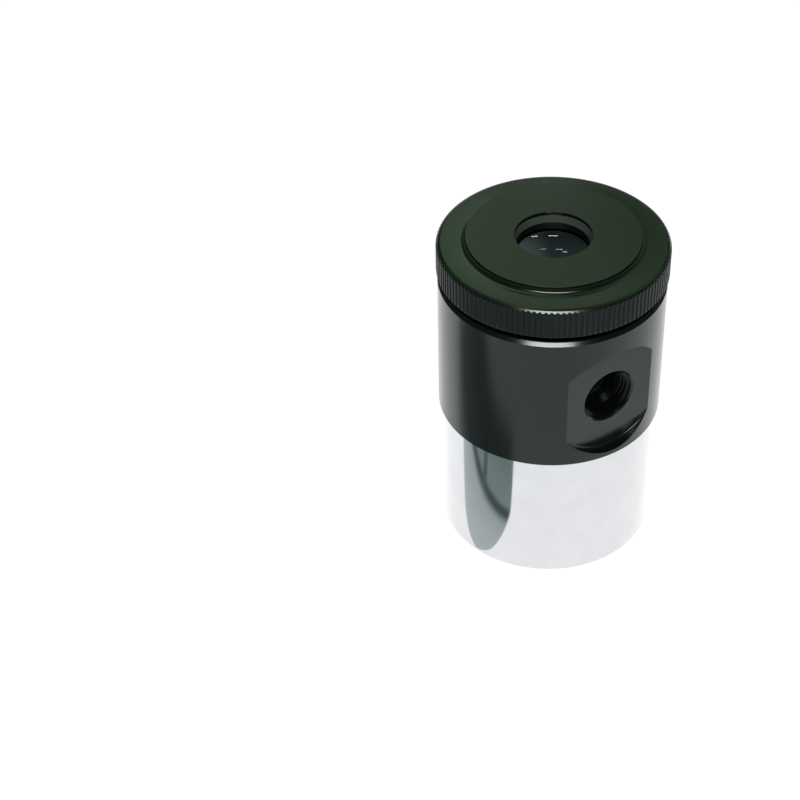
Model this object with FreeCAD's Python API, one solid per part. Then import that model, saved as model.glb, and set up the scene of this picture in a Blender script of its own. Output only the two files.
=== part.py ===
import FreeCAD, Part
import math
import os

# An eyepiece with a reticle that is lit from the side, standing on its nose barrel.
# Lengths are in millimetres and heights are taken from the barrel's lower face.
# The optical axis is Z, and the side port faces -Y.

# Nose barrel
barrel_diameter = 31.75
barrel_exposed_length = 21.85
barrel_chamfer = 0.45
filter_thread_diameter = 28.5
filter_thread_length = 4.2
barrel_bore = 27.2
barrel_shoulder = 2.0
spigot_diameter = 27.0
spigot_bore = 23.0
spigot_length = 4.4

# Main body
body_diameter = 33.0
body_length = 22.4
body_top_chamfer = 0.45
body_bottom_chamfer = 0.25
spigot_end_gap = 0.25
seat_thickness = 1.1
seat_opening = 18.4
carrier_bore = 21.6

# Side port for the light, on its spot face, with a shoulder at its inner end
port_rise = 9.95
port_thread_diameter = 8.0
port_chamfer = 0.25
port_shoulder = 0.6
port_light_hole = 5.0
flat_depth = 1.65
spot_face_diameter = 18.0

# Reticle and what holds it
glass_diameter = 16.0
glass_thickness = 2.0
glass_bevel = 0.15
field_stop_opening = 10.9
field_stop_thickness = 0.4
field_stop_bevel = 0.3
carrier_opening = 13.6
carrier_throat = 0.9
carrier_mouth = 18.0
light_window = 3.2
reticle_ring_opening = 13.0
reticle_ring_height = 1.6
carrier_rim_height = 1.6
lock_ring_opening = 17.2
lock_ring_height = 1.5

# Eye cap that turns and travels on its thread
cap_overhang = 0.2
cap_rim_height = 4.92
cap_gap = 0.9
cap_chamfer = 0.45
cap_plate_thickness = 2.6
sleeve_diameter = 26.0
sleeve_bore = 22.6
sleeve_length = 6.7
knurl_teeth = 131
knurl_depth = 0.15
travel_in = 0.75
travel_out = 0.75

# Stop screw in the body's wall and its groove in the sleeve
stop_thread_diameter = 2.0
stop_point_diameter = 1.5
stop_point_gap = 0.2
stop_screw_recess = 0.35
stop_groove_depth = 0.85
stop_groove_lip = 0.9
stop_socket_width = 0.9
stop_socket_depth = 1.0

# Raised disc of the cap, round the eye opening
disc_diameter = 25.0
disc_height = 1.0
disc_edge_chamfer = 0.08
disc_foot_cone = 0.35
eye_opening = 11.1
eye_opening_wall = 0.55

# Lens cell, screwed up into the cap
cell_diameter = 17.0
cell_end_rim = 0.15
cell_lip_height = 1.07
cell_lip_opening = 10.5
lens_ring_opening = 10.6
lens_ring_height = 1.3

# Two cemented doublets with their crown sides facing each other
lens_diameter = 11.8
outer_face_radius = 40.0
cemented_face_radius = 12.0
inner_face_radius = 13.0
flint_thickness = 1.2
crown_thickness = 3.4
doublet_gap = 0.4
spacer_opening = 10.4

# Slots for a pin spanner in the threaded rings
slot_width = 1.2
slot_depth = 0.8

# Clearances
end_clearance = 0.15
stop_clearance = 0.05
thread_clearance = 0.05
lens_clearance = 0.03
glass_clearance = 0.05
carrier_clearance = 0.02

# Heights and distances that follow from the sizes above
body_bottom = barrel_exposed_length
body_top = body_bottom + body_length
cap_bottom = body_top + cap_gap
cap_top = cap_bottom + cap_rim_height
disc_top = cap_top + disc_height
cell_top = disc_top - eye_opening_wall
socket_top = body_bottom + spigot_length + spigot_end_gap
carrier_seat = socket_top + seat_thickness
port_height = body_bottom + port_rise
sleeve_end = cap_bottom - sleeve_length
sleeve_floor = sleeve_end - travel_in - end_clearance
glass_bottom = port_height - glass_thickness / 2
glass_top = glass_bottom + glass_thickness
carrier_ledge = glass_bottom - field_stop_thickness
reticle_ring_top = glass_top + reticle_ring_height
carrier_top = reticle_ring_top + carrier_rim_height
groove_bottom = sleeve_end + stop_groove_lip
stop_height = groove_bottom + travel_out + stop_clearance + stop_point_diameter / 2
groove_top = stop_height + travel_in + stop_clearance + stop_point_diameter / 2
lens_lip = cell_top - cell_lip_height
cap_diameter = body_diameter + 2 * cap_overhang
flat_distance = body_diameter / 2 - flat_depth
port_floor = carrier_bore / 2 + port_shoulder
cell_bore = lens_diameter + 2 * lens_clearance

origin = FreeCAD.Vector(0, 0, 0)
optical_axis = FreeCAD.Vector(0, 0, 1)
port_direction = FreeCAD.Vector(0, -1, 0)
stop_direction = FreeCAD.Vector(0, 1, 0)


def turned(outline):
    # A closed outline of (radius, height) corners, turned about the optical axis
    corners = [FreeCAD.Vector(radius, 0, height) for radius, height in outline]
    face = Part.Face(Part.makePolygon(corners + corners[:1]))
    return face.revolve(origin, optical_axis, 360)


def ring(inner_diameter, outer_diameter, bottom, top):
    inner = inner_diameter / 2
    outer = outer_diameter / 2
    return turned([(inner, bottom), (outer, bottom), (outer, top), (inner, top)])


def radial_pin(diameter, direction, height, start, end):
    # A cylinder that lies across the axis, from one distance from the axis to another
    foot = direction * start + FreeCAD.Vector(0, 0, height)
    return Part.makeCylinder(diameter / 2, end - start, foot, direction)


def with_spanner_slots(shape, diameter, top):
    # Two slots across one diameter, cut down from the top face
    corner = FreeCAD.Vector(-diameter / 2, -slot_width / 2, top - slot_depth)
    return shape.cut(Part.makeBox(diameter, slot_width, slot_depth, corner))


def face_height(vertex, radius, distance):
    # Height of a spherical lens face; a positive radius bulges towards the eye
    return vertex - radius + math.copysign(math.sqrt(radius ** 2 - distance ** 2), radius)


def lens(top_vertex, top_radius, bottom_vertex, bottom_radius):
    rim = lens_diameter / 2

    def on_face(vertex, radius, distance):
        return FreeCAD.Vector(distance, 0, face_height(vertex, radius, distance))

    top = [on_face(top_vertex, top_radius, step) for step in (0, rim / 2, rim)]
    bottom = [on_face(bottom_vertex, bottom_radius, step) for step in (rim, rim / 2, 0)]
    edges = [
        Part.Arc(*top).toShape(),
        Part.LineSegment(top[-1], bottom[0]).toShape(),
        Part.Arc(*bottom).toShape(),
        Part.LineSegment(bottom[-1], top[0]).toShape(),
    ]
    return Part.Face(Part.Wire(edges)).revolve(origin, optical_axis, 360)


def nose_barrel():
    outer = barrel_diameter / 2
    thread = filter_thread_diameter / 2
    bore = barrel_bore / 2
    spigot = spigot_diameter / 2
    passage = spigot_bore / 2
    shoulder = barrel_exposed_length - barrel_shoulder
    spigot_end = body_bottom + spigot_length
    return turned([
        (thread + barrel_chamfer, 0),
        (outer - barrel_chamfer, 0),
        (outer, barrel_chamfer),
        (outer, body_bottom),
        (spigot, body_bottom),
        (spigot, spigot_end - barrel_chamfer),
        (spigot - barrel_chamfer, spigot_end),
        (passage, spigot_end),
        (passage, shoulder),
        (bore, shoulder),
        (bore, filter_thread_length),
        (thread, filter_thread_length),
        (thread, barrel_chamfer),
    ])


def main_body():
    outer = body_diameter / 2
    socket = spigot_diameter / 2
    opening = seat_opening / 2
    bore = carrier_bore / 2
    sleeve = sleeve_diameter / 2
    body = turned([
        (socket, body_bottom),
        (outer - body_bottom_chamfer, body_bottom),
        (outer, body_bottom + body_bottom_chamfer),
        (outer, body_top - body_top_chamfer),
        (outer - body_top_chamfer, body_top),
        (sleeve, body_top),
        (sleeve, sleeve_floor),
        (bore, sleeve_floor),
        (bore, carrier_seat),
        (opening, carrier_seat),
        (opening, socket_top),
        (socket, socket_top),
    ])
    body = body.cut(radial_pin(spot_face_diameter, port_direction, port_height, flat_distance, outer + 1))
    body = body.cut(radial_pin(port_thread_diameter, port_direction, port_height, port_floor, outer))
    body = body.cut(radial_pin(port_light_hole, port_direction, port_height, 0, outer))
    mouth = port_thread_diameter / 2 + port_chamfer
    mouth_foot = port_direction * (flat_distance - mouth) + FreeCAD.Vector(0, 0, port_height)
    body = body.cut(Part.makeCone(0, mouth, mouth, mouth_foot, port_direction))
    return body.cut(radial_pin(stop_thread_diameter, stop_direction, stop_height, 0, outer + 1))


def reticle_carrier():
    outer = carrier_bore / 2 - carrier_clearance
    pocket = glass_diameter / 2 + glass_clearance
    throat = carrier_opening / 2
    carrier = turned([
        (carrier_mouth / 2, carrier_seat),
        (outer, carrier_seat),
        (outer, carrier_top),
        (pocket, carrier_top),
        (pocket, carrier_ledge),
        (throat, carrier_ledge),
        (throat, carrier_ledge - carrier_throat),
    ])
    return carrier.cut(radial_pin(light_window, port_direction, port_height, glass_diameter / 2, outer + 1))


def field_stop():
    opening = field_stop_opening / 2
    outer = glass_diameter / 2
    return turned([
        (opening + field_stop_bevel, carrier_ledge),
        (outer, carrier_ledge),
        (outer, glass_bottom),
        (opening, glass_bottom),
    ])


def reticle_glass():
    rim = glass_diameter / 2
    return turned([
        (0, glass_bottom),
        (rim - glass_bevel, glass_bottom),
        (rim, glass_bottom + glass_bevel),
        (rim, glass_top - glass_bevel),
        (rim - glass_bevel, glass_top),
        (0, glass_top),
    ])


def reticle_retaining_ring():
    outer = glass_diameter + 2 * glass_clearance
    band = ring(reticle_ring_opening, outer, glass_top, reticle_ring_top)
    return with_spanner_slots(band, outer, reticle_ring_top)


def carrier_lock_ring():
    top = carrier_top + lock_ring_height
    band = ring(lock_ring_opening, carrier_bore, carrier_top, top)
    return with_spanner_slots(band, carrier_bore, top)


def stop_screw():
    wall = sleeve_diameter / 2
    head = body_diameter / 2 - stop_screw_recess
    tip = wall - stop_groove_depth - thread_clearance + stop_point_gap
    thread = radial_pin(stop_thread_diameter, stop_direction, stop_height, wall + stop_clearance, head)
    point = radial_pin(stop_point_diameter, stop_direction, stop_height, tip, wall + stop_clearance)
    corners = []
    for side in range(7):
        angle = math.radians(60 * side)
        reach = stop_socket_width / math.sqrt(3)
        across = reach * math.cos(angle)
        along = stop_height + reach * math.sin(angle)
        corners.append(FreeCAD.Vector(across, head - stop_socket_depth, along))
    socket = Part.Face(Part.makePolygon(corners)).extrude(stop_direction * stop_socket_depth)
    return thread.fuse(point).cut(socket).removeSplitter()


def knurl_prism(bottom, top):
    # A star-shaped prism whose points are the crests of the straight knurl
    crest = cap_diameter / 2
    corners = []
    for half_step in range(2 * knurl_teeth + 1):
        angle = math.pi * half_step / knurl_teeth
        radius = crest - knurl_depth * (half_step % 2)
        corners.append(FreeCAD.Vector(radius * math.cos(angle), radius * math.sin(angle), bottom))
    corners[-1] = corners[0]
    return Part.Face(Part.makePolygon(corners)).extrude(FreeCAD.Vector(0, 0, top - bottom))


def eye_cap():
    crest = cap_diameter / 2
    beyond = crest + cap_chamfer
    sleeve = sleeve_diameter / 2 - thread_clearance
    groove = sleeve - stop_groove_depth
    hollow = sleeve_bore / 2
    cell = cell_diameter / 2
    disc = disc_diameter / 2
    opening = eye_opening / 2
    plate = cap_top - cap_plate_thickness
    blank = turned([
        (hollow, sleeve_end),
        (sleeve, sleeve_end),
        (sleeve, groove_bottom),
        (groove, groove_bottom),
        (groove, groove_top),
        (sleeve, groove_top),
        (sleeve, cap_bottom),
        (crest - cap_chamfer, cap_bottom),
        (beyond, cap_bottom + 2 * cap_chamfer),
        (beyond, cap_top - 2 * cap_chamfer),
        (crest - cap_chamfer, cap_top),
        (disc + disc_foot_cone, cap_top),
        (disc, cap_top + disc_foot_cone),
        (disc, disc_top - disc_edge_chamfer),
        (disc - disc_edge_chamfer, disc_top),
        (opening, disc_top),
        (opening, cell_top),
        (cell, cell_top),
        (cell, plate),
        (hollow, plate),
    ])
    return blank.common(knurl_prism(sleeve_end - 1, disc_top + 1))


def lens_cell(cell_bottom):
    body = cell_diameter / 2
    bore = cell_bore / 2
    return turned([
        (bore, cell_bottom),
        (body, cell_bottom),
        (body, cell_top),
        (eye_opening / 2, cell_top),
        (cell_lip_opening / 2, lens_lip),
        (bore, lens_lip),
    ])


def lens_spacer(centre):
    # Its ends rest on the two inner faces along the edge of its opening
    opening = spacer_opening / 2
    reach = doublet_gap / 2 - face_height(0, inner_face_radius, opening)
    return ring(spacer_opening, lens_diameter, centre - reach, centre + reach)


def lens_stack():
    # The five pieces from the eye down, and the height of the lowest lens face's centre
    top = lens_lip - lens_clearance - face_height(0, outer_face_radius, cell_lip_opening / 2)
    eye_cement = top - flint_thickness
    eye_inner = eye_cement - crown_thickness
    field_inner = eye_inner - doublet_gap
    field_cement = field_inner - crown_thickness
    bottom = field_cement - flint_thickness
    pieces = {
        "eye_flint_lens": lens(top, outer_face_radius, eye_cement, cemented_face_radius),
        "eye_crown_lens": lens(eye_cement, cemented_face_radius, eye_inner, -inner_face_radius),
        "lens_spacer": lens_spacer((eye_inner + field_inner) / 2),
        "field_crown_lens": lens(field_inner, inner_face_radius, field_cement, -cemented_face_radius),
        "field_flint_lens": lens(field_cement, -cemented_face_radius, bottom, -outer_face_radius),
    }
    return pieces, bottom


def lens_retaining_ring(top):
    band = ring(lens_ring_opening, cell_bore, top - lens_ring_height, top)
    corner = FreeCAD.Vector(-cell_bore / 2, -slot_width / 2, top - lens_ring_height)
    return band.cut(Part.makeBox(cell_bore, slot_width, slot_depth, corner))


def main():
    os.makedirs("parts", exist_ok=True)
    pieces, stack_bottom = lens_stack()
    ring_top = face_height(stack_bottom, -outer_face_radius, lens_ring_opening / 2) - lens_clearance
    pieces["lens_retaining_ring"] = lens_retaining_ring(ring_top)
    pieces["lens_cell"] = lens_cell(ring_top - lens_ring_height - cell_end_rim)
    pieces["nose_barrel"] = nose_barrel()
    pieces["main_body"] = main_body()
    pieces["reticle_carrier"] = reticle_carrier()
    pieces["field_stop"] = field_stop()
    pieces["reticle_glass"] = reticle_glass()
    pieces["reticle_retaining_ring"] = reticle_retaining_ring()
    pieces["carrier_lock_ring"] = carrier_lock_ring()
    pieces["stop_screw"] = stop_screw()
    pieces["eye_cap"] = eye_cap()
    for name, shape in pieces.items():
        shape.exportStep("parts/" + name + ".step")
        box = shape.BoundBox
        print(name, len(shape.Solids), shape.isValid(), round(shape.Volume, 2), round(box.ZMin, 3), round(box.ZMax, 3))


main()
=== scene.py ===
import math

import bmesh
import bpy
from mathutils import Matrix, Vector


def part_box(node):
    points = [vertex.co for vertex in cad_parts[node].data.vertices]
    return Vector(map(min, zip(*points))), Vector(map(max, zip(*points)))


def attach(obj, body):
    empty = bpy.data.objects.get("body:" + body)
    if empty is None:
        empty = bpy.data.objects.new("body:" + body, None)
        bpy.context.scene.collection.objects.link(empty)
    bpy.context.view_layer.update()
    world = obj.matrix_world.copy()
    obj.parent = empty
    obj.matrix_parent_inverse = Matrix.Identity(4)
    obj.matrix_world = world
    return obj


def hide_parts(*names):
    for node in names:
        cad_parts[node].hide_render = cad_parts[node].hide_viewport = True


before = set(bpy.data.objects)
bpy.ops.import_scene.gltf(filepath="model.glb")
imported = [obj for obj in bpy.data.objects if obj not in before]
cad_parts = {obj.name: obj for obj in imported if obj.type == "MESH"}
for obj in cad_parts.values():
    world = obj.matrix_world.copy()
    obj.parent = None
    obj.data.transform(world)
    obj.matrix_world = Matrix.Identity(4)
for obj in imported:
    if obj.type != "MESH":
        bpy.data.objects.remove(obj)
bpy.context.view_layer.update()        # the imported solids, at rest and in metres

mm = 0.001                   # sizes are in millimetres where no other unit is named

# The milled flat round the side port, which the body's finish and two pieces share
sideFlat = dict(
    height=31.8,             # of the port's axis
    distance=14.85,          # in front of the optical axis
)


# Small helpers

def hexToLinear(code):
    # An sRGB hex colour as the linear values that the sockets take
    channels = [int(code[i:i + 2], 16) / 255 for i in (1, 3, 5)]
    return tuple(c / 12.92 if c <= 0.04045 else ((c + 0.055) / 1.055) ** 2.4 for c in channels) + (1.0,)


def addNode(tree, kind, settings=None, inputs=None):
    # One node with its settings; an input is a plain value or the output that feeds it
    node = tree.nodes.new(kind)
    for name, value in (settings or {}).items():
        setattr(node, name, value)
    for name, value in (inputs or {}).items():
        if isinstance(value, bpy.types.NodeSocket):
            tree.links.new(value, node.inputs[name])
        else:
            node.inputs[name].default_value = value
    return node


def startMaterial(name):
    # An empty material, and the Object coordinates that its patterns read
    material = bpy.data.materials.new(name)
    material.use_nodes = True
    tree = material.node_tree
    tree.nodes.clear()
    return material, tree, addNode(tree, "ShaderNodeTexCoord").outputs["Object"]


def finishMaterial(tree, inputs):
    # The surface's shader and the output
    shader = addNode(tree, "ShaderNodeBsdfPrincipled", inputs=inputs)
    addNode(tree, "ShaderNodeOutputMaterial", inputs={"Surface": shader.outputs["BSDF"]})


# Materials

anodised = dict(
    deepColour="#060a09",
    paleColour="#0b100f",
    sheenTint="#d2f0ea",     # the dye greens what the oxide reflects
    specularLevel=0.27,
    sealWeight=0.20,         # the sealed skin of the oxide, sharper than what is under it
    sealRoughness=0.18,
    driftSize=11.0,          # slow change in the dye
    grainSize=0.09,          # the blasted grain under the oxide
    grainHeight=0.0008,
    feed=0.30,               # the lathe's lines, drawn coarser than they are so that they show
    feedHeight=0.0003,
    smoothest=0.20,
    roughest=0.25,
    oxideIndex=1.5,
)
greenAnodised = dict(
    anodised, deepColour="#070d08", paleColour="#0c150d", sheenTint="#eaf4e8",
    specularLevel=0.38, sealWeight=0.03, smoothest=0.19)
knurledAnodised = dict(
    anodised, sheenTint="#c8f2de", specularLevel=0.12, sealWeight=0.04, smoothest=0.22, roughest=0.28)

milledRecess = dict(
    colour="#131817",
    roughness=0.22,
    specularLevel=0.40,
    flatAt=sideFlat["distance"],
    tolerance=0.02,          # how near the flat a point counts as on it
    wallAt=16.48,            # just inside the body's round wall
    top=42.0,                # between the recess and the body's top chamfer
)


def recessMasks(tree, split, radius, s):
    # 1 in the milled recess and 0 elsewhere, and the same for its flat alone
    plane = addNode(tree, "ShaderNodeMath", {"operation": "COMPARE"}, {
        0: split.outputs["Y"], 1: -s["flatAt"] * mm, 2: s["tolerance"] * mm}).outputs["Value"]
    inside = addNode(tree, "ShaderNodeMath", {"operation": "LESS_THAN"}, {
        0: radius, 1: s["wallAt"] * mm}).outputs["Value"]
    below = addNode(tree, "ShaderNodeMath", {"operation": "LESS_THAN"}, {
        0: split.outputs["Z"], 1: s["top"] * mm}).outputs["Value"]
    recess = addNode(tree, "ShaderNodeMath", {"operation": "MULTIPLY"}, {
        0: inside, 1: below}).outputs["Value"]
    flat = addNode(tree, "ShaderNodeMath", {"operation": "MULTIPLY"}, {0: plane, 1: recess}).outputs["Value"]
    return recess, flat


def turnedRelief(tree, grain, radius, height, s):
    # Blasted grain over lines a feed apart, along the axis on the walls and along the radius on the faces
    travel = addNode(tree, "ShaderNodeMath", {"operation": "ADD"}, {0: radius, 1: height})
    turns = addNode(tree, "ShaderNodeMath", {"operation": "MULTIPLY"}, {
        0: travel.outputs["Value"], 1: 2 * math.pi / (s["feed"] * mm)})
    lines = addNode(tree, "ShaderNodeMath", {"operation": "SINE"}, {0: turns.outputs["Value"]})
    turned = addNode(tree, "ShaderNodeBump", inputs={
        "Height": lines.outputs["Value"], "Distance": s["feedHeight"] * mm})
    blasted = addNode(tree, "ShaderNodeBump", inputs={
        "Height": grain, "Distance": s["grainHeight"] * mm, "Normal": turned.outputs["Normal"]})
    return blasted.outputs["Normal"]


def anodisedAluminium(name, s, milled=None):
    # Turned aluminium, lightly blasted, anodised and dyed black: a greenish black with a satin sheen
    material, tree, place = startMaterial(name)
    grain = addNode(tree, "ShaderNodeTexNoise", inputs={
        "Vector": place, "Scale": 1 / (s["grainSize"] * mm), "Detail": 2.0}).outputs["Fac"]
    drift = addNode(tree, "ShaderNodeTexNoise", inputs={
        "Vector": place, "Scale": 1 / (s["driftSize"] * mm), "Detail": 2.0}).outputs["Fac"]
    colour = addNode(tree, "ShaderNodeMix", {"data_type": "RGBA"}, {
        "Factor": drift, 6: hexToLinear(s["deepColour"]), 7: hexToLinear(s["paleColour"])}).outputs[2]
    roughness = addNode(tree, "ShaderNodeMapRange", inputs={
        "Value": grain, "To Min": s["smoothest"], "To Max": s["roughest"]}).outputs["Result"]
    split = addNode(tree, "ShaderNodeSeparateXYZ", inputs={"Vector": place})
    level = addNode(tree, "ShaderNodeCombineXYZ", inputs={"X": split.outputs["X"], "Y": split.outputs["Y"]})
    radius = addNode(tree, "ShaderNodeVectorMath", {"operation": "LENGTH"}, {
        0: level.outputs["Vector"]}).outputs["Value"]
    specular, seal = s["specularLevel"], s["sealWeight"]
    if milled:
        recess, flat = recessMasks(tree, split, radius, milled)
        specular = addNode(tree, "ShaderNodeMix", inputs={
            "Factor": recess, 2: specular, 3: milled["specularLevel"]}).outputs[0]
        seal = addNode(tree, "ShaderNodeMix", inputs={"Factor": recess, 2: seal, 3: 0.0}).outputs[0]
        colour = addNode(tree, "ShaderNodeMix", {"data_type": "RGBA"}, {
            "Factor": flat, 6: colour, 7: hexToLinear(milled["colour"])}).outputs[2]
        roughness = addNode(tree, "ShaderNodeMix", inputs={
            "Factor": flat, 2: roughness, 3: milled["roughness"]}).outputs[0]
    finishMaterial(tree, {
        "Base Color": colour,
        "Roughness": roughness,
        "IOR": s["oxideIndex"],
        "Specular IOR Level": specular,
        "Specular Tint": hexToLinear(s["sheenTint"]),
        "Coat Weight": seal,
        "Coat Roughness": s["sealRoughness"],
        "Normal": turnedRelief(tree, grain, radius, split.outputs["Z"], s),
    })
    return material


chrome = dict(
    brightColour="#cfd1d3",
    hazyColour="#c4c6c9",
    hazeSize=4.0,            # faint clouds in the plating
    waveSize=3.2,            # the waves that the polishing wheel leaves
    waveHeight=0.004,
    smoothest=0.06,
    roughest=0.13,
)


def chromePlate(name, s):
    # Chrome plate on polished brass: a cool mirror, very slightly clouded and waved
    material, tree, place = startMaterial(name)
    haze = addNode(tree, "ShaderNodeTexNoise", inputs={
        "Vector": place, "Scale": 1 / (s["hazeSize"] * mm), "Detail": 3.0}).outputs["Fac"]
    colour = addNode(tree, "ShaderNodeMix", {"data_type": "RGBA"}, {
        "Factor": haze, 6: hexToLinear(s["brightColour"]), 7: hexToLinear(s["hazyColour"])})
    roughness = addNode(tree, "ShaderNodeMapRange", inputs={
        "Value": haze, "To Min": s["smoothest"], "To Max": s["roughest"]})
    waves = addNode(tree, "ShaderNodeTexNoise", inputs={
        "Vector": place, "Scale": 1 / (s["waveSize"] * mm), "Detail": 1.0})
    relief = addNode(tree, "ShaderNodeBump", inputs={
        "Height": waves.outputs["Fac"], "Distance": s["waveHeight"] * mm})
    finishMaterial(tree, {
        "Base Color": colour.outputs[2],
        "Metallic": 1.0,
        "Roughness": roughness.outputs["Result"],
        "Normal": relief.outputs["Normal"],
    })
    return material


blackenedBrassSettings = dict(
    deepColour="#060606", paleColour="#100f0e", grainSize=0.2, grainHeight=0.005,
    smoothest=0.5, roughest=0.7, specularLevel=0.25)

blackOxideSettings = dict(
    deepColour="#141518", paleColour="#25272b", grainSize=0.15, grainHeight=0.002,
    smoothest=0.28, roughest=0.42, specularLevel=0.5)

cellSettings = dict(
    deepColour="#2f3731", paleColour="#3d463f", grainSize=0.1, grainHeight=0.003,
    smoothest=0.45, roughest=0.6, specularLevel=0.3)

# Black anodised, its colours darker than the body's: painted shade of the deep side port
threadShadedSettings = dict(
    deepColour="#030404", paleColour="#060807", grainSize=0.12, grainHeight=0.003,
    smoothest=0.18, roughest=0.28, specularLevel=0.10)

blackPaintSettings = dict(
    deepColour="#040404", paleColour="#090909", grainSize=0.1, grainHeight=0.004,
    smoothest=0.75, roughest=0.9, specularLevel=0.2)


def blackenedSurface(name, s):
    # A thin dull black, chemical or brushed on, that follows the grain of what is under it
    material, tree, place = startMaterial(name)
    grain = addNode(tree, "ShaderNodeTexNoise", inputs={
        "Vector": place, "Scale": 1 / (s["grainSize"] * mm), "Detail": 3.0}).outputs["Fac"]
    colour = addNode(tree, "ShaderNodeMix", {"data_type": "RGBA"}, {
        "Factor": grain, 6: hexToLinear(s["deepColour"]), 7: hexToLinear(s["paleColour"])})
    roughness = addNode(tree, "ShaderNodeMapRange", inputs={
        "Value": grain, "To Min": s["smoothest"], "To Max": s["roughest"]})
    relief = addNode(tree, "ShaderNodeBump", inputs={"Height": grain, "Distance": s["grainHeight"] * mm})
    finishMaterial(tree, {
        "Base Color": colour.outputs[2],
        "Roughness": roughness.outputs["Result"],
        "Specular IOR Level": s["specularLevel"],
        "Normal": relief.outputs["Normal"],
    })
    return material


glassPolish = dict(
    patchSize=1.5,           # of the faint unevenness that polishing leaves
    roughest=0.012,
)


def opticalGlass(name, index, body, tint):
    # Polished optical glass; the tint is what is left of its reflection under an anti-reflection layer, and a
    # dark body colour is painted shade
    material, tree, place = startMaterial(name)
    polish = addNode(tree, "ShaderNodeTexNoise", inputs={
        "Vector": place, "Scale": 1 / (glassPolish["patchSize"] * mm)})
    roughness = addNode(tree, "ShaderNodeMapRange", inputs={
        "Value": polish.outputs["Fac"], "To Min": 0.0, "To Max": glassPolish["roughest"]})
    finishMaterial(tree, {
        "Base Color": hexToLinear(body),
        "Roughness": roughness.outputs["Result"],
        "Transmission Weight": 1.0,
        "IOR": index,
        "Specular Tint": hexToLinear(tint),
    })
    return material


print("materials")
anodisedBody = anodisedAluminium("aluminium_turned_black_anodised", anodised, milledRecess)
anodisedCap = anodisedAluminium("aluminium_turned_green_black_anodised", greenAnodised)
anodisedKnurl = anodisedAluminium("aluminium_knurled_black_anodised", knurledAnodised)
chromedBrass = chromePlate("brass_polished_chrome_plated", chrome)
blackenedBrass = blackenedSurface("brass_chemically_blackened", blackenedBrassSettings)
blackSteel = blackenedSurface("steel_black_oxide", blackOxideSettings)
cellBlack = blackenedSurface("aluminium_matt_black_anodised", cellSettings)
threadShadedBlack = blackenedSurface("aluminium_threaded_black_anodised_painted_shade", threadShadedSettings)
edgePaint = blackenedSurface("lens_edge_black_paint", blackPaintSettings)
# The flint and crown bodies are darkened: painted shade of the eyepiece's dark inside, seen through the glass
coatedFlintPaintedShade = opticalGlass("flint_glass_coated_painted_shade", 1.67, "#1c2030", "#7268b0")
coatedCrownPaintedShade = opticalGlass("crown_glass_coated_painted_shade", 1.517, "#24283a", "#4a5490")
opticalCement = opticalGlass("optical_cement", 1.0, "#ffffff", "#000000")    # hides the faces it joins
reticlePlate = opticalGlass("crown_glass_reticle_plate", 1.517, "#e6eaea", "#3c4148")

finishes = {
    "main_body": anodisedBody,
    "lens_cell": cellBlack,
    "reticle_carrier": blackenedBrass,
    "field_stop": blackenedBrass,
    "lens_spacer": blackenedBrass,
    "reticle_retaining_ring": blackenedBrass,
    "carrier_lock_ring": blackenedBrass,
    "lens_retaining_ring": blackenedBrass,
    "stop_screw": blackSteel,
    "reticle_glass": reticlePlate,
}
for node, material in finishes.items():
    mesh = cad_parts[node].data
    mesh.materials.clear()
    mesh.materials.append(material)


# Making pieces

edges = dict(
    smoothBelow=20,          # degrees, the sharpest edge that is shaded smooth
    breakFrom=28,            # degrees, the flattest edge that is broken
    breakSegments=2,
    weldDistance=1e-7,       # m
)


def finishPiece(bm, name, materials, body, replaced=()):
    # Smooth faces with crisp corners, and the piece's place in the frame
    mesh = bpy.data.meshes.new(name)
    bm.to_mesh(mesh)
    bm.free()
    for material in materials:
        mesh.materials.append(material)
    mesh.shade_smooth()
    mesh.set_sharp_from_angle(angle=math.radians(edges["smoothBelow"]))
    piece = bpy.data.objects.new(name, mesh)
    bpy.context.scene.collection.objects.link(piece)
    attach(piece, body)
    if replaced:
        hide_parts(*replaced)
    return piece


def turned(outline, steps, closed=True):
    # An outline of (radius, height) corners in millimetres, spun about the optical axis
    bm = bmesh.new()
    corners = [bm.verts.new((radius * mm, 0, height * mm)) for radius, height in outline]
    for start, end in zip(corners, corners[1:] + corners[:1] if closed else corners[1:]):
        bm.edges.new((start, end))
    bmesh.ops.spin(bm, geom=bm.verts[:] + bm.edges[:], cent=(0, 0, 0), axis=(0, 0, 1),
                   angle=2 * math.pi, steps=steps, use_merge=True)
    bmesh.ops.remove_doubles(bm, verts=bm.verts[:], dist=edges["weldDistance"])
    bmesh.ops.recalc_face_normals(bm, faces=bm.faces[:])
    return bm


def softenEdges(piece, width):
    # The fine break that a maker puts on every edge
    bevel = piece.modifiers.new("edgeBreak", "BEVEL")
    bevel.width = width * mm
    bevel.segments = edges["breakSegments"]
    bevel.limit_method = "ANGLE"
    bevel.angle_limit = math.radians(edges["breakFrom"])
    bevel.harden_normals = True


threadShape = dict(
    sinkShare=0.06,          # of the ridge's height, how far it reaches into the wall
    halfRootShare=0.44,      # of the pitch
    halfCrestShare=0.07,
)


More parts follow.
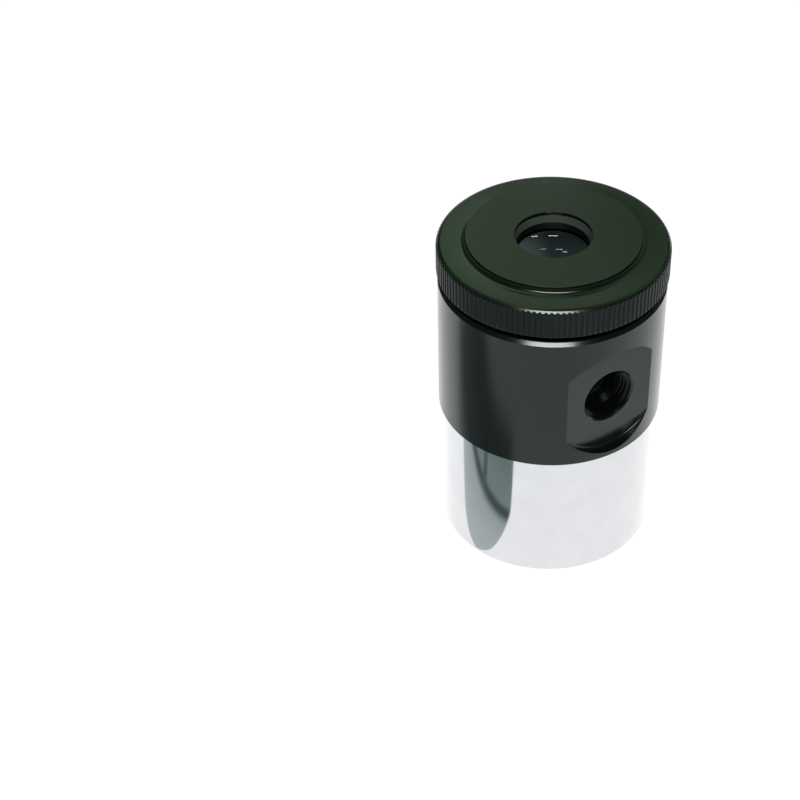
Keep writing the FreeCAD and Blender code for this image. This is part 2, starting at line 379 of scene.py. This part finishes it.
def threadRidge(wall, crest, pitch, low, high, stepsPerTurn=72):
    # A ridge wound round Z from one height to another, rooted in the wall and pointing at the crest
    sink = threadShape["sinkShare"] * (wall - crest)
    halfRoot = threadShape["halfRootShare"] * pitch
    halfCrest = threadShape["halfCrestShare"] * pitch
    start = low + halfRoot
    turns = (high - low - 2 * halfRoot) / pitch
    bm = bmesh.new()
    outline = [(wall + sink, -halfRoot), (crest, -halfCrest), (crest, halfCrest), (wall + sink, halfRoot)]
    corners = [bm.verts.new((radius * mm, 0, (start + height) * mm)) for radius, height in outline]
    for first, second in zip(corners, corners[1:] + corners[:1]):
        bm.edges.new((first, second))
    steps = round(turns * stepsPerTurn)
    rise = Vector((0, 0, turns * pitch * mm / steps))
    bmesh.ops.spin(bm, geom=bm.verts[:] + bm.edges[:], cent=(0, 0, 0), axis=(0, 0, 1), dvec=rise,
                   angle=2 * math.pi * turns, steps=steps, use_merge=False)
    bmesh.ops.holes_fill(bm, edges=[edge for edge in bm.edges if edge.is_boundary], sides=4)
    bmesh.ops.recalc_face_normals(bm, faces=bm.faces[:])
    return bm


# Nose barrel

barrel = dict(
    bore=27.2,
    shoulder=2.0,            # how thick the upper end is, where the bore narrows
    spigotDiameter=27.0,
    spigotBore=23.0,
    chamfer=0.45,
    threadDiameter=28.5,
    threadDepth=0.32,
    threadLength=4.2,
    threadPitch=0.6,
    threadSteps=96,
    edgeBreak=0.07,
    steps=192,
)


def makeNoseBarrel(s):
    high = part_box("nose_barrel")[1]
    outer, end = high.x / mm, high.z / mm
    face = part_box("main_body")[0].z / mm
    thread, bore = s["threadDiameter"] / 2, s["bore"] / 2
    spigot, passage = s["spigotDiameter"] / 2, s["spigotBore"] / 2
    shell = turned([
        (thread + s["chamfer"], 0),
        (outer - s["chamfer"], 0),
        (outer, s["chamfer"]),
        (outer, face),
        (spigot, face),
        (spigot, end - s["chamfer"]),
        (spigot - s["chamfer"], end),
        (passage, end),
        (passage, face - s["shoulder"]),
        (bore, face - s["shoulder"]),
        (bore, s["threadLength"]),
        (thread, s["threadLength"]),
        (thread, s["chamfer"]),
    ], s["steps"])
    piece = finishPiece(shell, "noseBarrel", [chromedBrass], "housing", ("nose_barrel",))
    softenEdges(piece, s["edgeBreak"])
    ridge = threadRidge(
        thread, thread - s["threadDepth"], s["threadPitch"],
        s["chamfer"], s["threadLength"], s["threadSteps"])
    finishPiece(ridge, "filterThread", [chromedBrass], "housing")


# Foot of the spot face

spotFace = dict(
    diameter=18.0,
    height=sideFlat["height"],
    flatAt=sideFlat["distance"],
    footRadius=0.35,
    footSteps=6,
    sweepSteps=48,
    clearance=0.02,          # from the body's round wall
    sink=0.02,               # how far the piece reaches into the body behind it
)


def makeSpotFaceFoot(s):
    # The small radius that the cutter leaves where the flat meets its step, above and below the port
    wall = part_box("main_body")[1].x / mm - s["clearance"]
    rim, flatAt, sink = s["diameter"] / 2, s["flatAt"], s["sink"]
    half = math.asin(math.sqrt(wall ** 2 - flatAt ** 2) / rim)

    def section(angle):
        # The fillet's (reach from the port's axis, distance in front of the optical axis) at one place
        depth = math.sqrt(wall ** 2 - (rim * math.sin(angle)) ** 2) - flatAt
        radius = max(min(s["footRadius"], depth), sink)
        outline = [(rim - radius, flatAt - sink), (rim + sink, flatAt - sink), (rim + sink, flatAt + radius)]
        for part in range(s["footSteps"], -1, -1):
            lean = math.pi / 2 * part / s["footSteps"]
            outline.append((rim - radius * (1 - math.sin(lean)), flatAt + radius * (1 - math.cos(lean))))
        return outline

    bm = bmesh.new()
    for side in (-1, 1):
        sections = []
        for step in range(s["sweepSteps"] + 1):
            angle = half * (2 * step / s["sweepSteps"] - 1)
            sections.append([bm.verts.new((
                reach * math.sin(angle) * mm,
                -out * mm,
                (s["height"] + side * reach * math.cos(angle)) * mm)) for reach, out in section(angle)])
        for first, second in zip(sections, sections[1:]):
            for index in range(len(first)):
                bm.faces.new((first[index - 1], first[index], second[index], second[index - 1]))
        bm.faces.new(sections[0])
        bm.faces.new(sections[-1])
    bmesh.ops.recalc_face_normals(bm, faces=bm.faces[:])
    finishPiece(bm, "spotFaceFoot", [anodisedBody], "housing")


# Side port

port = dict(
    diameter=8.0,
    threadDepth=0.4,
    threadPitch=0.75,
    height=sideFlat["height"],
    mouth=14.6,              # from the axis, where the thread starts inside its chamfer
    floor=11.4,              # and where it ends
)


def makePortThread(s):
    wall = s["diameter"] / 2
    ridge = threadRidge(wall, wall - s["threadDepth"], s["threadPitch"], s["floor"], s["mouth"])
    turn = Matrix.Rotation(math.radians(90), 4, "X")
    lift = Matrix.Translation((0, 0, s["height"] * mm))
    bmesh.ops.transform(ridge, matrix=lift @ turn, verts=ridge.verts[:])
    # its extra darkness is painted shade of the port
    finishPiece(ridge, "portThread", [threadShadedBlack], "housing")


# Eye cap

cap = dict(
    teeth=131,
    toothDepth=0.15,
    crestShare=0.22,         # of a tooth's width, flat on top
    rootShare=0.16,
    chamfer=0.45,
    neckDepth=0.30,          # below the crests, where the chamfer turns flatter
    chamferEase=0.19,        # how far its upper part then leans back into the top
    rimHeight=4.92,
    plate=2.6,               # from the rim's top down to the hollow
    discDiameter=25.0,
    discHeight=1.0,
    discFoot=0.78,
    footSteps=8,
    opening=11.1,
    openingWall=0.55,        # how high the eye opening's wall is
    cellDiameter=17.0,
    sleeveDiameter=25.9,
    sleeveBore=22.6,
    grooveDepth=0.85,
    grooveLow=39.35,
    grooveHigh=42.45,
    threadRun=0.3,           # plain, between the groove and the thread
    threadPitch=0.75,
    threadDepth=0.4,
    edgeBreak=0.045,
    bandMargin=0.01,         # inside the grooves, where the knurled band's finish begins
    bandLean=0.1,            # and how far up its faces may look
)


def capOutline(s, crest, top, bottom, sleeveEnd):
    # Corners of the sleeve up to the knurled band, and on from the band to the disc and the hollow inside
    discTop = top + s["discHeight"]
    sleeve, hollow = s["sleeveDiameter"] / 2, s["sleeveBore"] / 2
    threadRoot, threadLow = sleeve - s["threadDepth"], s["grooveHigh"] + s["threadRun"]
    disc, opening, cell = s["discDiameter"] / 2, s["opening"] / 2, s["cellDiameter"] / 2
    land, neck = crest - s["chamfer"], crest - s["neckDepth"]
    cellTop = discTop - s["openingWall"]

    # The hollow that the tool's round nose leaves at the disc's foot
    foot = []
    for step in range(s["footSteps"] + 1):
        angle = math.pi / 2 * step / s["footSteps"]
        away, climb = 1 - math.sin(angle), 1 - math.cos(angle)
        foot.append((disc + s["discFoot"] * away, top + s["discFoot"] * climb))

    lower = [
        (hollow, sleeveEnd),
        (sleeve, sleeveEnd),
        (sleeve, s["grooveLow"]),
        (sleeve - s["grooveDepth"], s["grooveLow"]),
        (sleeve - s["grooveDepth"], s["grooveHigh"]),
        (sleeve, s["grooveHigh"]),
        (sleeve, threadLow),
        (threadRoot, threadLow),
        (threadRoot, bottom),
        (land, bottom),
    ]
    upper = [
        (neck, top - neck + land),
        (land - s["chamferEase"], top),
        *foot,
        (disc, discTop),
        (opening, discTop),
        (opening, cellTop),
        (cell, cellTop),
        (cell, top - s["plate"]),
        (hollow, top - s["plate"]),
    ]
    return lower, upper


toothCorners = 4             # vertices a tooth: two on its crest and two in the groove


def plainRings(outline):
    # Each corner of an outline as a ring that the teeth leave round
    return [([radius] * toothCorners, [height] * toothCorners) for radius, height in outline]


def nextRing(bm, verts):
    # A ring extruded from the last one, with its vertices in the same order
    sides = [bm.edges.get((verts[index - 1], verts[index])) for index in range(len(verts))]
    made = bmesh.ops.extrude_edge_only(bm, edges=sides)["geom"]
    fresh = {item for item in made if isinstance(item, bmesh.types.BMVert)}
    return [next(edge.other_vert(vert) for edge in vert.link_edges if edge.other_vert(vert) in fresh)
            for vert in verts]


def toothedShell(rings, teeth, crestShare, rootShare):
    # A shell of rings, each the radii and heights of one tooth's corners
    crestHalf, rootHalf = crestShare / 2, rootShare / 2
    shares = (-crestHalf, crestHalf, 0.5 - rootHalf, 0.5 + rootHalf)
    bm = bmesh.new()
    verts = bmesh.ops.create_circle(bm, segments=toothCorners * teeth, radius=1.0)["verts"]
    for number, (radii, heights) in enumerate(rings):
        if number:
            verts = nextRing(bm, verts)
        for index, vert in enumerate(verts):
            tooth, corner = divmod(index, toothCorners)
            angle = 2 * math.pi / teeth * (tooth + shares[corner])
            radius, height = radii[corner] * mm, heights[corner] * mm
            vert.co = (radius * math.cos(angle), radius * math.sin(angle), height)
    bmesh.ops.bridge_loops(bm, edges=[edge for edge in bm.edges if edge.is_boundary])
    bmesh.ops.recalc_face_normals(bm, faces=bm.faces[:])
    return bm


def makeEyeCap(s):
    low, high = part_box("eye_cap")
    crest, root = high.x / mm, high.x / mm - s["toothDepth"]
    top = high.z / mm - s["discHeight"]
    bottom = top - s["rimHeight"]
    lower, upper = capOutline(s, crest, top, bottom, low.z / mm)

    # The chamfers at both ends of the band cut the crests back farther than the grooves
    radii = (crest, crest, root, root)
    inset = [s["chamfer"] - (crest - radius) for radius in radii]
    band = [(radii, [bottom + cut for cut in inset]), (radii, [top - cut for cut in inset])]
    rings = plainRings(lower) + band + plainRings(upper)
    shell = toothedShell(rings, s["teeth"], s["crestShare"], s["rootShare"])
    bandRadius = (root - s["bandMargin"]) * mm
    for face in shell.faces:
        if face.calc_center_median().xy.length > bandRadius and abs(face.normal.z) < s["bandLean"]:
            face.material_index = 1
    finish = [anodisedCap, anodisedKnurl]
    piece = finishPiece(shell, "eyeCap", finish, "eye_cap", ("eye_cap",))
    softenEdges(piece, s["edgeBreak"])


def makeFocusThread(s):
    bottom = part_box("eye_cap")[1].z / mm - s["discHeight"] - s["rimHeight"]
    sleeve = s["sleeveDiameter"] / 2
    ridge = threadRidge(
        sleeve - s["threadDepth"], sleeve, s["threadPitch"], s["grooveHigh"] + s["threadRun"], bottom)
    finishPiece(ridge, "focusThread", [anodisedCap], "eye_cap")


# Lenses

lenses = dict(
    diameter=11.8,
    outerRadius=40.0,
    cementedRadius=12.0,
    innerRadius=13.0,
    flint=1.2,               # how thick each is at its centre
    crown=3.4,
    gap=0.4,                 # between the two crowns
    cementLayer=0.01,
    edgeSlope=0.05,          # a face that looks up or down less than this is the ground edge
    arcSteps=20,
    steps=160,
)


def makeLens(s, name, replaced, top, bottom, glass, cementedSide):
    # The top and the bottom are each (height, radius of the arc); a positive radius bulges towards the eye
    rim = s["diameter"] / 2

    def face(vertex, radius, inwards):
        points = []
        for step in range(s["arcSteps"] + 1):
            distance = rim * step / s["arcSteps"]
            sag = abs(radius) - math.sqrt(radius ** 2 - distance ** 2)
            points.append((distance, vertex - math.copysign(sag, radius)))
        return points[::-1] if inwards else points

    bm = turned(face(*top, False) + face(*bottom, True), s["steps"], closed=False)
    for polygon in bm.faces:
        side = polygon.normal.z
        if abs(side) < s["edgeSlope"]:
            polygon.material_index = 2
        elif side * cementedSide > 0:
            polygon.material_index = 1
    finishPiece(bm, name, [glass, opticalCement, edgePaint], "lens_stack", (replaced,))


def makeLenses(s):
    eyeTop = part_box("eye_flint_lens")[1].z / mm
    layer = s["cementLayer"]
    eyeCement = eyeTop - s["flint"]
    eyeInner = eyeCement - s["crown"]
    fieldInner = eyeInner - s["gap"]
    fieldCement = fieldInner - s["crown"]
    fieldBottom = fieldCement - s["flint"]
    outer, cemented, inner = s["outerRadius"], s["cementedRadius"], s["innerRadius"]
    up, down = 1, -1
    makeLens(s, "eyeFlintLens", "eye_flint_lens",
             (eyeTop, outer), (eyeCement + layer, cemented), coatedFlintPaintedShade, down)
    makeLens(s, "eyeCrownLens", "eye_crown_lens",
             (eyeCement, cemented), (eyeInner, -inner), coatedCrownPaintedShade, up)
    makeLens(s, "fieldCrownLens", "field_crown_lens",
             (fieldInner, inner), (fieldCement, -cemented), coatedCrownPaintedShade, down)
    makeLens(s, "fieldFlintLens", "field_flint_lens",
             (fieldCement - layer, -cemented), (fieldBottom, -outer), coatedFlintPaintedShade, up)


# Reticle

reticle = dict(
    lineWidth=0.03,
    lineHeight=0.01,
    lineLength=10.6,
    spacing=0.7,             # between the two lines of a pair
)


def makeReticleLines(s):
    # A double cross, etched into the glass's lower face and filled with black
    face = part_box("reticle_glass")[0].z
    bm = bmesh.new()
    size = Matrix.Diagonal((s["lineLength"] * mm, s["lineWidth"] * mm, s["lineHeight"] * mm, 1))
    for turn in (0, math.pi / 2):
        for side in (-1, 1):
            offset = Matrix.Translation((0, side * s["spacing"] / 2 * mm, face - s["lineHeight"] / 2 * mm))
            bmesh.ops.create_cube(bm, size=1.0, matrix=Matrix.Rotation(turn, 4, "Z") @ offset @ size)
    finishPiece(bm, "reticleLines", [edgePaint], "housing")


print("pieces")
makeNoseBarrel(barrel)
makeSpotFaceFoot(spotFace)
makePortThread(port)
makeEyeCap(cap)
makeFocusThread(cap)
makeLenses(lenses)
makeReticleLines(reticle)


# Studio

studio = dict(
    floorSize=4.0,           # m
    floorColour="#f4f4f2",
    shownFloorColour="#6e6e6e",    # under the glow, where the paper is looked at
    floorGlow=0.93,          # as the camera sees the paper
    mirroredGlow=1.15,       # as metal and lacquer do: the paper is overexposed
    floorRoughness=0.9,
    aimHeight=0.04,          # m
    lampDistance=0.60,       # m
    lampColour="#fff9f7",
)

sky = dict(
    colour="#f2f4f2",
    strength=0.35,
    # What metal and lacquer mirror is greener, and shaded by the components of a unit direction
    mirroredColour="#c8f4c8",
    rearFrom=-0.3,           # dark behind the camera, light at the back
    rearTo=0.5,
    front=0.05,
    climbFrom=0.52,          # darker below
    climbTo=0.70,
    low=0.33,
    high=1.0,
    leftFrom=-0.12,          # and lighter just to the camera's left
    leftTo=0.06,
    left=3.3,
    right=0.8,
    farLeftFrom=-0.32,       # but not farther to the left
    farLeftTo=-0.12,
    farLeft=0.12,
)

lamps = dict(
    # azimuth and elevation in degrees, width and height in metres, power in watts; the lens mirrors the panes
    keySoftbox=(-35.5, 50.0, 0.36, 0.034, 3.2),
    backPaneLeft=(150.4, 31.6, 0.018, 0.005, 0.0045),
    backPaneRight=(144.6, 31.6, 0.026, 0.005, 0.006),
    upperPaneLeft=(148.5, 41.2, 0.018, 0.003, 0.0018),
    upperPaneMiddle=(142.2, 41.3, 0.022, 0.003, 0.0028),
    upperPaneRight=(139.8, 42.6, 0.012, 0.007, 0.003),
)

# A glowing card, no lamp, that paints a dark reflection into the chrome and the satin black
card = dict(
    # where each corner lies on the floor, and the radius that rounds it
    corners=(
        (-14.9, -5.1, 2.6), (-24.0, -12.6, 8.0), (-42.5, -20.5, 5.0), (-56.0, -4.0, 20.0),
        (-83.0, 16.0, 16.0), (-61.0, 54.5, 14.0), (-21.6, 4.6, 20.0),
    ),
    lineCorners=((-29.9, -2.0, 0.2), (-44.0, 0.2, 0.2), (-44.0, 2.9, 0.2), (-29.9, 0.2, 0.2)),
    lineColour="#5b6c6b",
    lift=0.2,
    lineLift=0.25,
    across=(0.854, 0.520, 0.0),    # a unit direction on the floor
    # distance across, up to the side by the barrel, and the card's glow there, the shade of a painted
    # reflection
    shades=(
        (-60.0, "#5b6462"), (-38.0, "#7b8886"), (-28.0, "#8a9996"), (-26.8, "#4c5a59"), (-25.6, "#4c5a59"),
        (-23.6, "#b6bfc1"), (-16.0, "#d0d6d8"),
    ),
)

cameraSettings = dict(
    azimuth=-29.84,          # degrees from the side port's direction
    elevation=40.01,
    roll=-1.72,
    aim=(-17.97, 13.62, 19.0),   # a point on the line of sight
    distance=300.0,
    focalLength=88.4,
    sensorWidth=36.0,
    nearest=0.01,            # m
)


def outward(azimuth, elevation):
    # The unit vector at an azimuth from the side port's direction and an elevation, in degrees
    a, e = math.radians(azimuth), math.radians(elevation)
    return Vector((math.sin(a) * math.cos(e), -math.cos(a) * math.cos(e), math.sin(e)))


def roundedOutline(corners, arcSteps=12):
    # A closed outline whose corners, each (x, y, radius), are rounded by arcs
    outline = []
    for index, (x, y, radius) in enumerate(corners):
        corner = Vector((x, y))
        back = (Vector(corners[index - 1][:2]) - corner).normalized()
        ahead = (Vector(corners[(index + 1) % len(corners)][:2]) - corner).normalized()
        half = back.angle(ahead) / 2
        centre = corner + (back + ahead).normalized() * radius / math.sin(half)
        spoke = corner + back * radius / math.tan(half) - centre
        sweep = math.copysign(math.pi - 2 * half, ahead.cross(back))
        for step in range(arcSteps + 1):
            outline.append(centre + Matrix.Rotation(sweep * step / arcSteps, 2) @ spoke)
    return outline


def stagePiece(bm, name, material):
    # A thing of the studio, not of the eyepiece
    mesh = bpy.data.meshes.new(name)
    bm.to_mesh(mesh)
    bm.free()
    mesh.materials.append(material)
    piece = bpy.data.objects.new(name, mesh)
    bpy.context.scene.collection.objects.link(piece)
    return piece


def finishGlow(tree, colour):
    # A surface that only glows, in one colour from every side
    glow = addNode(tree, "ShaderNodeEmission", inputs={"Color": colour})
    addNode(tree, "ShaderNodeOutputMaterial", inputs={"Surface": glow.outputs["Emission"]})


def makeFloor(s):
    # White paper: part of its white is its own glow, so that only a soft shadow of the object stays
    material, tree, _ = startMaterial("paper_matt_white")
    rays = addNode(tree, "ShaderNodeLightPath").outputs
    direct = addNode(tree, "ShaderNodeMath", {"operation": "MAXIMUM"}, {
        0: rays["Is Camera Ray"], 1: rays["Is Transmission Ray"]}).outputs["Value"]
    seen = addNode(tree, "ShaderNodeMath", {"operation": "MAXIMUM"}, {
        0: direct, 1: rays["Is Glossy Ray"]}).outputs["Value"]
    colour = addNode(tree, "ShaderNodeMix", {"data_type": "RGBA"}, {
        "Factor": seen, 6: hexToLinear(s["floorColour"]), 7: hexToLinear(s["shownFloorColour"])})
    brightness = addNode(tree, "ShaderNodeMapRange", inputs={
        "Value": rays["Is Glossy Ray"], "To Min": s["floorGlow"], "To Max": s["mirroredGlow"]})
    glow = addNode(tree, "ShaderNodeMath", {"operation": "MULTIPLY"}, {
        0: brightness.outputs["Result"], 1: seen})
    finishMaterial(tree, {
        "Base Color": colour.outputs[2],
        "Roughness": s["floorRoughness"],
        "Specular IOR Level": 0.0,
        "Emission Color": (1.0, 1.0, 1.0, 1.0),
        "Emission Strength": glow.outputs["Value"],
    })
    bm = bmesh.new()
    bmesh.ops.create_grid(bm, x_segments=1, y_segments=1, size=s["floorSize"] / 2)
    stagePiece(bm, "floor", material)


def makeCard(s):
    # A grey card with a line on it, flat on the floor, seen only in the chrome and the satin black; it only
    # glows, so its shades are a painted reflection
    paint, tree, place = startMaterial("card_glow_painted_reflection")
    across = addNode(tree, "ShaderNodeVectorMath", {"operation": "DOT_PRODUCT"}, {
        0: place, 1: s["across"]}).outputs["Value"]
    # The ramp is the painted reflection's gradient across the card
    (farthest, farShade), *between, (nearest, nearShade) = s["shades"]
    share = addNode(tree, "ShaderNodeMapRange", inputs={
        "Value": across, "From Min": farthest * mm, "From Max": nearest * mm}).outputs["Result"]
    shades = addNode(tree, "ShaderNodeValToRGB", inputs={"Fac": share})
    ramp = shades.color_ramp
    for distance, shade in between:
        ramp.elements.new((distance - farthest) / (nearest - farthest)).color = hexToLinear(shade)
    ramp.elements[0].color = hexToLinear(farShade)
    ramp.elements[-1].color = hexToLinear(nearShade)
    finishGlow(tree, shades.outputs["Color"])
    # The line glows too: part of the painted reflection
    ink, tree, _ = startMaterial("card_line_glow_painted_reflection")
    finishGlow(tree, hexToLinear(s["lineColour"]))
    layers = (
        ("paintedReflectionCard", s["corners"], s["lift"], paint),
        ("paintedReflectionLine", s["lineCorners"], s["lineLift"], ink),
    )
    for name, corners, lift, material in layers:
        bm = bmesh.new()
        bm.faces.new([bm.verts.new((x * mm, y * mm, lift * mm)) for x, y in roundedOutline(corners)])
        bmesh.ops.recalc_face_normals(bm, faces=bm.faces[:])
        layer = stagePiece(bm, name, material)
        layer.visible_camera = False
        layer.visible_diffuse = False
        layer.visible_shadow = False
        layer.visible_transmission = False


def makeSky(s):
    world = bpy.data.worlds.new("studio")
    bpy.context.scene.world = world
    world.use_nodes = True
    tree = world.node_tree
    tree.nodes.clear()
    direction = addNode(tree, "ShaderNodeTexCoord").outputs["Generated"]

    def along(azimuth):
        return addNode(tree, "ShaderNodeVectorMath", {"operation": "DOT_PRODUCT"}, {
            0: direction, 1: outward(azimuth, 0)}).outputs["Value"]

    def ramp(value, start, end, low, high):
        return addNode(tree, "ShaderNodeMapRange", inputs={
            "Value": value, "From Min": start, "From Max": end,
            "To Min": low, "To Max": high}).outputs["Result"]

    height = addNode(tree, "ShaderNodeSeparateXYZ", inputs={"Vector": direction}).outputs["Z"]
    rearwards = along(cameraSettings["azimuth"] + 180)
    sideways = along(cameraSettings["azimuth"] + 90)
    mirrored = ramp(height, s["climbFrom"], s["climbTo"], s["low"], s["high"])
    for share in (
            ramp(rearwards, s["rearFrom"], s["rearTo"], s["front"], 1.0),
            ramp(sideways, s["leftFrom"], s["leftTo"], s["left"], s["right"]),
            ramp(sideways, s["farLeftFrom"], s["farLeftTo"], s["farLeft"], 1.0)):
        mirrored = addNode(tree, "ShaderNodeMath", {"operation": "MULTIPLY"}, {
            0: mirrored, 1: share}).outputs["Value"]
    glossy = addNode(tree, "ShaderNodeLightPath").outputs["Is Glossy Ray"]
    strength = addNode(tree, "ShaderNodeMix", inputs={"Factor": glossy, 2: s["strength"], 3: mirrored})
    hue = addNode(tree, "ShaderNodeMix", {"data_type": "RGBA"}, {
        "Factor": glossy, 6: hexToLinear(s["colour"]), 7: hexToLinear(s["mirroredColour"])})
    light = addNode(tree, "ShaderNodeBackground", inputs={
        "Color": hue.outputs[2], "Strength": strength.outputs[0]})
    addNode(tree, "ShaderNodeOutputWorld", inputs={"Surface": light.outputs["Background"]})


def makeLamp(name, azimuth, elevation, width, height, power, s):
    lamp = bpy.data.lights.new(name, "AREA")
    lamp.shape = "RECTANGLE"
    lamp.size = width
    lamp.size_y = height
    lamp.energy = power
    lamp.color = hexToLinear(s["lampColour"])[:3]
    placed = bpy.data.objects.new(name, lamp)
    bpy.context.scene.collection.objects.link(placed)
    away = outward(azimuth, elevation)
    placed.location = Vector((0, 0, s["aimHeight"])) + away * s["lampDistance"]
    placed.rotation_mode = "QUATERNION"
    placed.rotation_quaternion = (-away).to_track_quat("-Z", "Y")


def makeCamera(s):
    camera = bpy.data.objects.new("camera", bpy.data.cameras.new("camera"))
    bpy.context.scene.collection.objects.link(camera)
    camera.data.sensor_width = s["sensorWidth"]
    camera.data.lens = s["focalLength"]
    camera.data.clip_start = s["nearest"]
    away = outward(s["azimuth"], s["elevation"])
    turn = (-away).to_track_quat("-Z", "Y").to_matrix() @ Matrix.Rotation(math.radians(s["roll"]), 3, "Z")
    place = Vector(s["aim"]) * mm + away * s["distance"] * mm
    camera.matrix_world = Matrix.Translation(place) @ turn.to_4x4()
    bpy.context.scene.camera = camera


print("studio")
makeFloor(studio)
makeCard(card)
makeSky(sky)
for lampName, lampSettings in lamps.items():
    makeLamp(lampName, *lampSettings, studio)
makeCamera(cameraSettings)
bpy.context.scene.view_settings.view_transform = "Standard"
